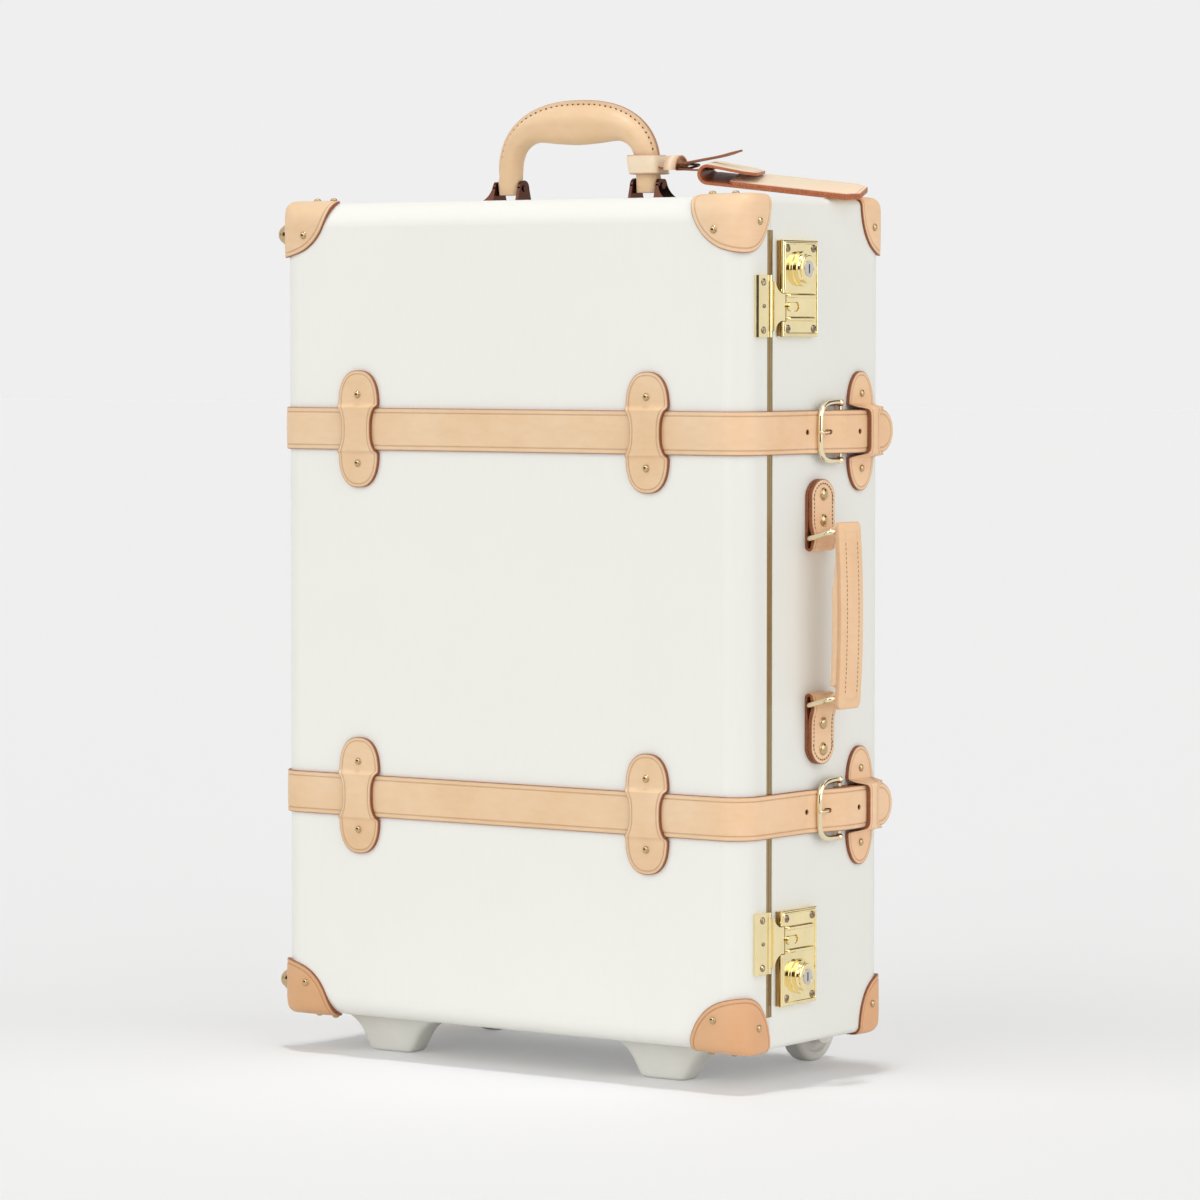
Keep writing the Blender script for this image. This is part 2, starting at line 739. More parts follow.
class Form:
    """Gathers grids of points, in case millimetres, into one mesh."""

    def __init__(self) -> None:
        """Start empty."""
        self.points: list[Array] = []
        self.edges: list[Array] = []
        self.faces: list[Sequence[int]] = []
        self.count = 0

    def tube(self, rows: Array, edge: object = 0.0, ring: bool = False) -> "Form":
        """Add a grid whose columns run round a section and whose ends are closed, or meet in a ring.

        Args:
            rows: points, shaped (rows, columns, 3).
            edge: value of the raw edge attribute, 0 to 2, for all points or each.
            ring: whether the last row joins the first.

        Returns:
            The form itself.
        """
        tall, cols = rows.shape[:2]
        self.points.append(rows.reshape(-1, 3))
        self.edges.append(np.broadcast_to(edge, (tall, cols)).reshape(-1))
        self.faces += (quads(tall, cols, ring) + self.count).tolist()
        if not ring:
            self.faces.append((np.arange(cols) + self.count).tolist())
            self.faces.append((np.arange(cols)[::-1] + self.count + (tall - 1) * cols).tolist())
        self.count += tall * cols
        return self

    def copies(self, move: Move) -> "Form":
        """Add the gathered form again through a move."""
        points, edges = np.concatenate(self.points), np.concatenate(self.edges)
        self.points.append(move(points))
        self.edges.append(edges)
        self.faces += [[i + self.count for i in face] for face in self.faces]
        self.count += len(points)
        return self

    def moved(self, move: Move) -> "Form":
        """Move the gathered form."""
        self.points = [move(p) for p in self.points]
        return self

    def finish(self, name: str, slot: Slot, body: Optional[Body] = None, nodes: Sequence[str] = (),
               look: Optional[str] = None, sharp: float = 42.0) -> bpy.types.Object:
        """Make the object, with faces outward and the smooth shading that its angles allow.

        Args:
            name: object name.
            slot: material slot.
            body: moving body that carries it; none for a piece that bends between two.
            nodes: CAD nodes that it stands for.
            look: name of one of the palette's special finishes, in place of the slot's own.
            sharp: angle in degrees above which an edge stays sharp.

        Returns:
            The object, at the origin.
        """
        mesh = bpy.data.meshes.new(name)
        mesh.from_pydata(to_row(np.concatenate(self.points)).tolist(), [], self.faces)
        raw = mesh.attributes.new("edge", "FLOAT", "POINT")
        raw.data.foreach_set("value", np.concatenate(self.edges).astype(np.float32))
        work = bmesh.new()
        work.from_mesh(mesh)
        bmesh.ops.recalc_face_normals(work, faces=work.faces[:])
        work.to_mesh(mesh)
        work.free()
        mesh.shade_smooth()
        mesh.set_sharp_from_angle(angle=math.radians(sharp))
        mesh.materials.append(PALETTE.special[look] if look else PALETTE.made[slot])
        piece = add_object(name, mesh)
        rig.slot(piece, slot.value)
        if nodes:
            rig.replaces(piece, *nodes)
        if body:
            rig.ride(piece, body.value)
        log.info("%s: %d faces", name, len(mesh.polygons))
        return piece


def lathe(form: Form, centre: Sequence[float], normal: Sequence[float], profile: Profile,
          around: int = 40) -> None:
    """Add a turned shape: a profile of (radius, height) spun about a normal through a centre.

    Args:
        form: mesh to add to.
        centre: point on the axis at height 0, in case millimetres.
        normal: direction of the axis.
        profile: radii and heights, from the underside to the crown.
        around: points round it.
    """
    n = unit(np.array(normal, float))
    a = unit(np.cross(n, [0.0, 0.0, 1.0] if abs(n[2]) < 0.9 else [1.0, 0.0, 0.0]))
    spin = circle(around)[:, None]
    ring = np.cos(spin) * a + np.sin(spin) * np.cross(n, a)
    radius, height = np.array(profile, float).T[..., None, None]
    form.tube(np.array(centre) + radius * ring + height * n)


def sweep(form: Form, line: Array, radius: float, ring: bool, around: int = 16) -> None:
    """Add a round wire along a flat line.

    Args:
        form: mesh to add to.
        line: centre line, shaped (count, 3).
        radius: radius of the wire.
        ring: whether the line closes.
        around: points round the wire.
    """
    step = unit(np.roll(line, -1, 0) - np.roll(line, 1, 0)) if ring else heading(line)
    normal = unit(np.cross(line[1] - line[0], line[len(line) // 3] - line.mean(0)))
    side = unit(np.cross(step, normal))
    up = np.cross(side, step)
    spin = circle(around)[:, None]
    form.tube(line[:, None] + radius * (np.cos(spin) * side[:, None] + np.sin(spin) * up[:, None]), ring=ring)


def stitches(form: Form, places: Array, normal: Array, run: Array, long: float, wide: float) -> None:
    """Add sunk stitches: small ovals that lie along a run, a little proud of the leather.

    Args:
        form: mesh to add to.
        places: points on the surface, shaped (count, 3).
        normal: outward directions, shaped (count, 3) or (3,).
        run: directions of the seam, shaped like normal.
        long: half length of a stitch.
        wide: half width of a stitch.
    """
    normal, run = (np.broadcast_to(v, places.shape) for v in (normal, run))
    side = np.cross(normal, run)
    spin = circle(10)[:, None]
    share, height = np.array(STITCH).T[..., None, None]
    oval = np.cos(spin) * long * run[:, None] + np.sin(spin) * wide * side[:, None]
    for place, ring, out in zip(places, oval, normal):
        form.tube(place + share * ring + height * out)


# Leather

@dataclass(frozen=True)
class Cut:
    """How a piece of leather is finished along its edge."""

    thick: float = 2.5
    crease: float = 3.5
    groove: float = 0.42
    bevel: float = 0.9
    swell: float = 0.25
    burnish: float = 1.0
    drop: float = 0.62
    groove_wide: float = 0.42
    swell_run: float = 5.0
    rim_run: float = 0.62
    line: float = 0.42
    line_wide: float = 0.5

    def top(self, d: Array) -> Array:
        """Return the grain side's height at a distance from the edge: bevel, crease, then a soft swell."""
        rim = 1 - np.clip(d / self.bevel, 0, 1)
        height = self.thick - self.drop * (1 - np.sqrt(np.clip(1 - rim * rim, 0, 1)))
        height = height - self.groove * np.exp(-(((d - self.crease) / self.groove_wide) ** 2))
        return height + self.swell * (1 - np.exp(-np.clip(d, 0, None) / self.swell_run))

    def raw(self, d: Array) -> Array:
        """Return how raw or burnished the surface is at a distance from the edge."""
        rim = np.exp(-((d / self.rim_run) ** 2))
        line = self.line * np.exp(-(((d - self.crease) / self.line_wide) ** 2))
        return self.burnish * np.maximum(rim, line)


@dataclass(frozen=True)
class Hole:
    """A punched hole in a piece's middle: place along it, half length of its slot, radius."""

    along: float
    reach: float = 0.0
    radius: float = 1.9


def nearest(along: Array, half: Array) -> Distance:
    """Return a function of (along, across) for the distance to an outline that has these half widths."""
    outline = np.concatenate([grid(along, half), grid(along, -half)])

    def distance(a: Array, s: Array) -> Array:
        gaps = (a[..., None] - outline[:, 0]) ** 2 + (s[..., None] - outline[:, 1]) ** 2
        return np.sqrt(gaps.min(-1))

    return distance


def blank(form: Form, along: Array, half: Array, distance: Distance, cut: Cut, place: Place,
          lift: object = 0.0, holes: Sequence[Hole] = ()) -> None:
    """Add one piece of cut leather.

    Each station has columns at fixed distances from both edges and even ones between them. The top
    follows the cut's profile over the distance to the outline; the underside is flat; holes are dents
    through most of the thickness.

    Args:
        form: mesh to add to.
        along: stations along the piece.
        half: half width at each station.
        distance: distance to the outline from (along, across).
        cut: edge finish.
        place: maps (along, across, height) to case coordinates.
        lift: height of the underside, at all stations or each.
        holes: punched holes.
    """
    c = cut.crease
    near = np.array([0, 0.12, 0.3, 0.55, 0.9, 1.6, c - 0.9, c - 0.5, c - 0.2, c, c + 0.2, c + 0.5, c + 0.95])
    inner = np.linspace(0, 1, 19)[1:]
    if holes:
        middle = 1 - 2.7 / (half.max() - near[-1])
        inner = np.concatenate([np.linspace(0, middle, 9)[1:], np.linspace(middle, 1, 19)[1:]])
    half = half[:, None]
    scale = np.minimum(1.0, half / (c + 2.2))
    side = np.concatenate([near * scale, near[-1] * scale + (half - near[-1] * scale) * inner], 1)
    across = np.concatenate([side - half, (half - side)[:, -2::-1]], 1)
    stations = np.repeat(along[:, None], across.shape[1], 1)
    d = np.maximum(distance(stations, across), 0)
    top, raw = cut.top(d), cut.raw(d)
    for hole in holes:
        run = np.maximum(np.abs(stations - hole.along) - hole.reach, 0)
        dent = smooth((hole.radius + 0.15 - np.hypot(run, across)) / 0.3)
        top = top - dent * (cut.thick - 0.35)
        raw = np.maximum(raw, 2 * dent)
    lifts = np.broadcast_to(lift, along.shape)[:, None] + np.zeros_like(across)
    under = lifts[:, [0, -1]]
    ring = np.concatenate([place(stations, across, lifts + top),
                           place(stations[:, :2], across[:, [-1, 0]], under)], 1)
    form.tube(ring, np.concatenate([raw, np.full_like(under, cut.burnish)], 1))


@dataclass
class Straps:
    """Two belts round the case: a lid part, a base part with its loop, and a tail on the right wall."""

    half: float = 15.7
    split: float = 3.2
    overlap: float = 0.4
    bend_reach: float = 3.0
    bend_z: float = 400.0
    loop_run: float = 9.0
    loop_wrap: float = 1.75
    loop_half: float = 6.7
    loop_middle: float = 9.0
    tip: float = 86.0
    rise: float = 8.6
    climb: tuple[float, float] = (-14.0, 24.0)
    drift: float = 0.011
    holes: tuple[Hole, ...] = (Hole(-14.3), Hole(41.7), Hole(6.4, 2.0, 1.6))
    cut: Cut = Cut()

    def build(self) -> None:
        """Make the belts and the piece that bends over the hinge."""
        for level, move in LEVELS.items():
            lid, base, tail, bend = (Form() for _ in range(4))
            self.run(lid, (SEAM, SEAM - self.split), True)
            self.run(base, (HEEL_BAR[1] + self.loop_run, SEAM + self.split), False)
            self.loop(base)
            self.tail(tail)
            for part, form, body in (("front", lid, Body.LID), ("back", base, Body.BASE),
                                     ("tail", tail, Body.BASE)):
                node = f"{level}_strap_{part}"
                form.moved(move).finish(f"{node}_leather", Slot.LEATHER, body, [node])
            reach = self.split + self.overlap
            y = np.linspace(SEAM - reach, SEAM + reach, 25)
            self.strip(bend, grid(-SIDE, y), grid(-1.0, 0 * y))
            piece = bend.moved(move).finish(f"{level}_strap_bend", Slot.LEATHER)
            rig.blend(piece, Body.LID.value, Body.BASE.value,
                     to_row(np.array([-SIDE, SEAM - self.bend_reach, self.bend_z])),
                     to_row(np.array([-SIDE, SEAM + self.bend_reach, self.bend_z])))

    def run(self, form: Form, ends: tuple[float, float], by_front: bool) -> None:
        """Add the belt from the right wall to the left one, by the front or by the back.

        Args:
            form: mesh to add to.
            ends: depths of its ends on the right and on the left wall.
            by_front: whether it is the lid's part.
        """
        turn = np.linspace(0, math.pi / 2, 15)
        sign = -1.0 if by_front else 1.0
        flat, deep = SIDE - EDGE_RADIUS, BACK - EDGE_RADIUS
        turn_out = grid(np.cos(turn), sign * np.sin(turn))
        corner = np.array([flat, sign * deep]) + EDGE_RADIUS * turn_out
        flip = np.array([-1.0, 1.0])
        first = np.linspace(ends[0], corner[0, 1], 12)[:-1]
        last = np.linspace(corner[0, 1], ends[1], 12)[1:]
        across = np.linspace(flat, -flat, 90)[1:-1]
        plan = np.concatenate([grid(SIDE, first), corner, grid(across, sign * BACK), corner[::-1] * flip,
                               grid(-SIDE, last)])
        out = np.concatenate([grid(1.0, 0 * first), turn_out, grid(0 * across, sign), turn_out[::-1] * flip,
                              grid(-1.0, 0 * last)])
        self.strip(form, plan, out)

    def strip(self, form: Form, plan: Array, out: Array, half: Optional[float] = None,
              middle: float = 0.0) -> None:
        """Add a belt of leather along a plan line.

        Args:
            form: mesh to add to.
            plan: line of its underside, as (x, y).
            out: outward directions.
            half: half width, the belt's own by default.
            middle: offset of its middle from the belt's.
        """
        half = half or self.half

        def place(a: Array, s: Array, h: Array) -> Array:
            i = np.round(a).astype(int)
            flat = plan[i] + out[i] * h[..., None]
            return grid(flat[..., 0], flat[..., 1], STRAP_Z + middle + s)

        rows = np.arange(len(plan), dtype=float)
        blank(form, rows, np.full(len(plan), half), lambda a, s: half - np.abs(s), self.cut, place)

    def loop(self, form: Form) -> None:
        """Add the two halves of the end that folds round the heel bar, with a slot between for the tongue."""
        (hx, hy), wrap = HEEL_BAR, self.loop_wrap
        turn = np.linspace(-math.pi / 2, math.pi / 2, 19)
        under = [(SIDE + 2.5, hy + 9.4), (SIDE + 2.5, hy + 6), (SIDE + 2.4, hy + 3)]
        over = [(hx + wrap + 0.1, hy + 8), (hx + wrap + 0.1, hy + 20)]
        plan = np.concatenate([under, grid(hx + wrap * np.sin(turn), hy - wrap * np.cos(turn)), over])
        for sign in (1, -1):
            self.strip(form, plan, right_of(plan), self.loop_half, sign * self.loop_middle)

    def stand(self, y: Array) -> Array:
        """Return how far the tail's underside stands off the wall at a depth."""
        start, end = self.climb
        t = np.clip((y - start) / (end - start), 0, 1)
        return self.rise * (0.35 * smooth(t) + 0.65 * t) + np.clip(y - end, 0, None) * self.drift

    def tail(self, form: Form) -> None:
        """Add the free tail with its round tip and punched holes."""
        end = self.tip - self.half
        round_end = end + self.half * np.sin(np.linspace(0, math.asin(0.9994), 46))
        fine = [hole.along + np.linspace(-2.6 - hole.reach, 2.6 + hole.reach, 46) for hole in self.holes]
        y = np.unique(np.concatenate([np.linspace(SEAM, end, 160)[:-1], round_end, *fine]))
        half = np.sqrt(np.clip(self.half ** 2 - np.clip(y - end, 0, None) ** 2, 0.04, None))

        def distance(a: Array, s: Array) -> Array:
            return np.where(a > end, self.half - np.hypot(a - end, s), self.half - np.abs(s))

        def place(a: Array, s: Array, h: Array) -> Array:
            return grid(SIDE + h, a, STRAP_Z + s)

        blank(form, y, half, distance, self.cut, place, self.stand(y), self.holes)


@dataclass(frozen=True)
class GuideShape:
    """Half widths at shoulder and waist, powers of waist and lobe, rise of the arch, slope of its foot."""

    wide: float
    waist: float
    steep: float
    bulge: float
    rise: float
    slope: float


@dataclass
class Guides:
    """Leather guides that hold the straps: a figure of eight, arched over the belt."""

    shoulder: float = 17.5
    end: float = 43.5
    flat: GuideShape = GuideShape(18.5, 13.3, 3.0, 2.4, 2.75, 0.35)
    arched: GuideShape = GuideShape(16.5, 6.0, 10.0, 2.1, 12.2, 0.2)
    strap_edge: float = 16.3
    crest: float = 15.9
    ease: float = 1.4
    press: float = 0.25
    cut: Cut = Cut(thick=3.0, crease=2.7, groove=0.4)

    def build(self) -> None:
        """Make the front, back and side guides."""
        for face, body, move in (("front", Body.LID, same), ("back", Body.BASE, mirror_y)):
            form = Form()
            for x in GUIDE_X:
                self.one(form, self.flat, lambda a, s, h, x=x: grid(x + s, -BACK - h, STRAP_Z + a))
            form.copies(mirror_z).moved(move)
            form.finish(f"{face}_guides_leather", Slot.LEATHER, body, [f"{face}_strap_guides"])
        for level, move in LEVELS.items():
            form = Form()
            self.one(form, self.arched, lambda a, s, h: grid(SIDE + h, SIDE_GUIDE_Y + s, STRAP_Z + a))
            node = f"{level}_side_guide"
            form.moved(move).finish(f"{node}_leather", Slot.LEATHER, Body.BASE, [node])

    def one(self, form: Form, shape: GuideShape, place: Place) -> None:
        """Add one guide.

        The half width grows from the waist to its widest at the shoulder by a power of the height, and closes
        over the lobe as part of a superellipse. The underside eases up from the foot to the strap's edge.

        Args:
            form: mesh to add to.
            shape: its outline and arch.
            place: maps to case coordinates.
        """
        turn = np.linspace(0, math.pi / 2, 74)
        lobe = self.shoulder + (self.end - self.shoulder) * np.sin(turn) ** (2 / shape.bulge)
        lobe_half = np.maximum(shape.wide * np.cos(turn) ** (2 / shape.bulge), 0.25)
        low = np.linspace(0, self.shoulder, 40)[:-1]
        low_half = shape.waist + (shape.wide - shape.waist) * (low / self.shoulder) ** shape.steep
        upper, upper_half = np.concatenate([low, lobe]), np.concatenate([low_half, lobe_half])
        along = np.concatenate([-upper[:0:-1], upper])
        half = np.concatenate([upper_half[:0:-1], upper_half])
        a = np.abs(along)
        foot = self.strap_edge + shape.slope * shape.rise + self.ease
        lift = shape.rise * smooth((foot - a) / (foot - self.crest)) - self.press * smooth((a - foot) / 2)
        blank(form, along, half, nearest(along, half), self.cut, place, lift)


@dataclass
class CornerCaps:
    """Leather caps over the eight corners, each the case's own curve grown outward inside an ellipsoid."""

    middle: tuple[float, float, float] = (SIDE - 6, -87.0, HEIGHT)
    reach: tuple[float, float, float] = (41.0, 28.5, 41.0)
    grown: float = 3.4
    sunk: float = -0.4
    cut: Cut = Cut(thick=3.6, crease=2.9, groove=0.45, bevel=1.3, swell=0.3)
    spokes: int = 144
    eye: tuple[float, float, float] = (SIDE - 34, -BACK + 30, HEIGHT - 34)
    far: float = 140.0
    widest: float = 2.4
    rounds: tuple[int, int] = (34, 30)
    egg_size: float = 36.0

    def build(self) -> None:
        """Make the lid's and the base's caps."""
        for part, limit, body, move in (("lid", SEAM - 0.3, Body.LID, same),
                                        ("base", SEAM + 5, Body.BASE, mirror_y)):
            form = Form()
            self.one(form, limit)
            form.moved(move).copies(mirror_x).copies(mirror_z)
            form.finish(f"{part}_caps_leather", Slot.LEATHER, body, [f"{part}_corner_caps"], sharp=60)

    @staticmethod
    def skin(p: Array) -> Array:
        """Return the distance outside the rounded case: three rounded rectangles, their greatest eased."""
        def flat(a: Array, b: Array, half_a: float, half_b: float, r: float) -> Array:
            qa, qb = np.abs(a) - half_a + r, np.abs(b) - half_b + r
            return np.hypot(np.maximum(qa, 0), np.maximum(qb, 0)) + np.minimum(np.maximum(qa, qb), 0) - r

        def soft(a: Array, b: Array, k: float = 7.0) -> Array:
            return np.maximum(a, b) + k / 4 * np.clip(1 - np.abs(a - b) / k, 0, 1) ** 2

        x, y, z = p[..., 0], p[..., 1], p[..., 2] - MID
        return soft(soft(flat(x, y, SIDE, BACK, EDGE_RADIUS), flat(y, z, BACK, MID, EDGE_RADIUS)),
                    flat(x, z, SIDE, MID, SIDE_RADIUS))

    def one(self, form: Form, limit: float) -> None:
        """Add the cap of the front top right corner.

        Spokes leave the corner's direction at even angles. Halving finds the turn at which each meets the
        outline on the grown case, and then, for stations along it, the range at which it meets the skin.

        Args:
            form: mesh to add to.
            limit: depth at which the cap is cut straight.
        """
        eye = np.array(self.eye)
        axis = np.array([1, -1, 1]) / math.sqrt(3)
        first = np.array([1, 1, 0]) / math.sqrt(2)
        spin = circle(self.spokes)[:, None]
        round_dir = np.cos(spin) * first + np.sin(spin) * np.cross(axis, first)

        def ray(turn: Array, grow: object) -> Array:
            direction = np.cos(turn)[..., None] * axis + np.sin(turn)[..., None] * round_dir
            out = halve(lambda mid: self.skin(eye + direction * mid[..., None]) < grow,
                        np.zeros_like(turn), np.full_like(turn, self.far), self.rounds[0])
            return eye + direction * out[..., None]

        def outside(p: Array) -> Array:
            egg = np.linalg.norm((p - np.array(self.middle)) / np.array(self.reach), axis=-1)
            return np.maximum((egg - 1) * self.egg_size, p[..., 1] - limit)

        edge = halve(lambda mid: outside(ray(mid, self.grown)) < 0, np.zeros(self.spokes),
                     np.full(self.spokes, self.widest), self.rounds[1])
        share = np.concatenate([np.linspace(0.03, 0.8, 22), np.linspace(0.81, 0.985, 26),
                                [0.99, 0.994, 0.997, 1.0]])
        turn = share[:, None] * edge
        d = np.maximum(-outside(ray(turn, self.grown)), 0)
        inner = ray(turn[::-3], self.sunk)
        form.tube(np.concatenate([ray(turn, self.cut.top(d)), inner]),
                  np.concatenate([self.cut.raw(d), np.ones(inner.shape[:2])]))


# Rivets

def dome_profile(radius: float, rise: float, sunk: float, steps: int = 12) -> Profile:
    """Return a rivet head's profile: a thin rolled rim and a low dome."""
    rim = [(radius * 0.9, -sunk), (radius * 0.96, 0.0), (radius, 0.18), (radius, 0.42), (radius * 0.94, 0.62)]
    return rim + crown(0.9 * radius, 0.62, rise - 0.62, steps)


def crown(radius: float, foot: float, rise: float, steps: int) -> Profile:
    """Return the profile of a dome, open at the very top."""
    turn = np.linspace(0, math.pi / 2 * 0.985, steps)
    return [(radius * math.cos(t), foot + rise * math.sin(t)) for t in turn]


@dataclass
class Rivets:
    """Round heads on caps, guides and tabs, and the standing glides on the left wall."""

    head: Profile = tuple(dome_profile(2.75, 1.8, 1.0))
    tab_head: Profile = tuple(dome_profile(4.75, 2.7, 0.8, 16))
    glide: Profile = ((8.3, -1.0), (8.3, 4.6), (8.1, 5.0), (7.2, 5.3), (6.9, 5.6), *crown(6.9, 5.6, 5.9, 14))
    cap_face: float = 95.2
    cap_side: float = 212.2
    cap_top: float = 612.2
    cap_place: tuple[float, float] = (186.0, 586.0)
    cap_depth: float = 75.0
    glide_drop: float = 23.0
    side_extra: float = 1.8
    tab_heights: tuple[float, float] = (397.0, 378.0)
    on_guide: float = 3.1
    on_tab: float = 6.2

    def build(self) -> None:
        """Make all heads of the lid, all of the base, and the glides."""
        for part, body, face, wall_z, tops in (("lid", Body.LID, -1, 592, ((172, 76), (190, 73))),
                                               ("base", Body.BASE, 1, 590, ((180, 75), (196, 72)))):
            form, ahead = Form(), (0, face, 0)
            lathe(form, (self.cap_side, face * self.cap_depth, wall_z), RIGHT, self.head)
            for sign in (1, -1):
                across, height = self.cap_place
                lathe(form, (sign * across, face * self.cap_face, height), ahead, self.head)
                for x, y in tops:
                    lathe(form, (sign * x, face * y, self.cap_top), UP, self.head)
                for x in GUIDE_X:
                    centre = (x, face * (BACK + self.on_guide), STRAP_Z + sign * GUIDE_RIVET)
                    lathe(form, centre, ahead, self.head)
            if body is Body.BASE:
                self.right_wall(form)
            node = f"{part}_rivets"
            form.copies(mirror_z).finish(f"{part}_rivet_heads", Slot.BRASS, body, [node], "aged_brass")
        for part, depth, body in (("lid", -78.0, Body.LID), ("base", 76.0, Body.BASE)):
            form, node = Form(), f"{part}_glides"
            lathe(form, (-SIDE, depth, HEIGHT - self.glide_drop), (-1, 0, 0), self.glide, 56)
            form.copies(mirror_z).finish(f"{part}_glide_domes", Slot.BRASS, body, [node], "aged_brass")

    def right_wall(self, form: Form) -> None:
        """Add the heads on the side guides and on the side handle's tabs."""
        for sign in (1, -1):
            height = STRAP_Z + sign * (GUIDE_RIVET + self.side_extra)
            lathe(form, (SIDE + self.on_guide, SIDE_GUIDE_Y, height), RIGHT, self.head)
        for height in self.tab_heights:
            lathe(form, (SIDE + self.on_tab, SIDE_HANDLE_Y, height), RIGHT, self.tab_head)


# Handles and tag

@dataclass
class TopHandle:
    """Padded leather grip: a belly that narrows to flat legs, closed by a stitched flange outside."""

    leg: tuple[float, float] = (72.75, 53.25)
    crown: tuple[float, float] = (73.5, 53.5)
    leg_heights: tuple[float, float] = (6.0, 22.0)
    flange: float = 2.0
    flange_wide: float = 5.0
    stitch_inset: float = 3.3
    stitch_pitch: float = 5.0
    stitch_start: float = 30.0
    fullness: float = 2.35

    def build(self) -> None:
        """Make the grip and its stitches."""
        outer, inner, thick, on = self.lines()
        half = np.linalg.norm(outer - inner, axis=1)[:, None] / 2
        out = (outer - inner) / (2 * half)
        r = -np.cos(np.linspace(0, math.pi, 61))[None]
        width = self.swell(r, half, thick[:, None], on[:, None])
        loop_r = np.concatenate([r, r[:, -2:0:-1]], 1)
        loop_t = np.concatenate([width, -width[:, -2:0:-1]], 1)
        flat = ((outer + inner) / 2)[:, None] + out[:, None] * (loop_r * half)[..., None]
        edge = 0.75 * np.exp(-((((1 - loop_r) * half) / 0.7) ** 2)) * on[:, None]
        form = Form().tube(grid(flat[..., 0], loop_t, flat[..., 1]), edge)
        piece = form.finish("top_handle_leather", Slot.LEATHER, Body.TOP_HANDLE, ["top_handle"], sharp=70)
        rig.padded(piece, 0.9)
        self.sew(outer, out, half, thick, on)

    def lines(self) -> tuple[Array, Array, Array, Array]:
        """Return the outer and inner lines (x, z), the half thickness and how far the flange is formed."""
        low, high = self.leg_heights
        turn = np.radians(np.linspace(180, 90, 70))
        rise = np.linspace(low, high, 12)[:-1]
        leg = grid(-self.leg[0] - 0.75 * smooth((rise - low) / (high - low)), HEIGHT + rise)
        power = 2 / self.fullness
        bow = grid(-self.crown[0] * np.abs(np.cos(turn)) ** power,
                   HEIGHT + high + self.crown[1] * np.sin(turn) ** power)
        outer = np.concatenate([leg, bow])
        along = length(outer)
        marks = np.searchsorted(-turn, -np.radians([164, 140, 119, 104, 90])).clip(0, len(turn) - 1)
        knots = np.concatenate([[0.0, 11.0], along[len(leg) + marks]])
        held = np.array([(-self.leg[1], 616), (-self.leg[1], 627), (-52.75, 641), (-48.2, 649.8),
                         (-36.5, 654.6), (-18, 653.2), (0, 652.2)])
        deep = np.array([6, 7.2, 8.4, 9.8, 11.2, 12, 12.5])

        def whole(values: Array, flip: object = 1.0) -> Array:
            return np.concatenate([values, values[-2::-1] * flip])

        flip = np.array([-1.0, 1.0])
        ends = np.concatenate([knots, 2 * knots[-1] - knots[-2::-1]])
        inner = through(ends, whole(held, flip), along)
        thick = through(ends, whole(deep), along)[:, 0]
        return whole(outer, flip), whole(inner, flip), whole(thick), whole(smooth((along - 8) / 14))

    def swell(self, r: Array, half: Array, thick: Array, on: Array) -> Array:
        """Return the half thickness of belly and flange across a section, from inside (-1) to outside (1)."""
        end = 1 - on * (self.flange_wide - 1.2) / half
        across = np.clip(2 * (r + 1) / (end + 1) - 1, -1, 1)
        belly = thick * np.sqrt(np.clip(1 - np.abs(across) ** 2.3, 0, 1))
        lip = np.clip((r - 1 + 1.1 / half) / (1.1 / half), 0, 1)
        flange = self.flange * np.sqrt(1 - lip ** 2) * smooth((r + 0.1) / 0.5) * on
        return np.cbrt(belly ** 3 + flange ** 3)

    def sew(self, outer: Array, out: Array, half: Array, thick: Array, on: Array) -> None:
        """Make the row of stitches along both sides of the flange."""
        along = length(outer)
        at = np.arange(self.stitch_start, along[-1] - self.stitch_start + 0.1, self.stitch_pitch)
        place, direction, h, t, o = (through(along, v, at) for v in (outer, out, half, thick, on))
        line = place - direction * self.stitch_inset
        width = self.swell(1 - self.stitch_inset / h, h, t, o)[:, 0]
        run = heading(line)
        form = Form()
        for sign in (1, -1):
            places = grid(line[:, 0], sign * width, line[:, 1])
            stitches(form, places, np.array([0.0, sign, 0.0]), grid(run[:, 0], 0.0, run[:, 1]), 0.95, 0.75)
        form.finish("top_handle_stitches", Slot.LEATHER, Body.TOP_HANDLE, look="waxed_thread")


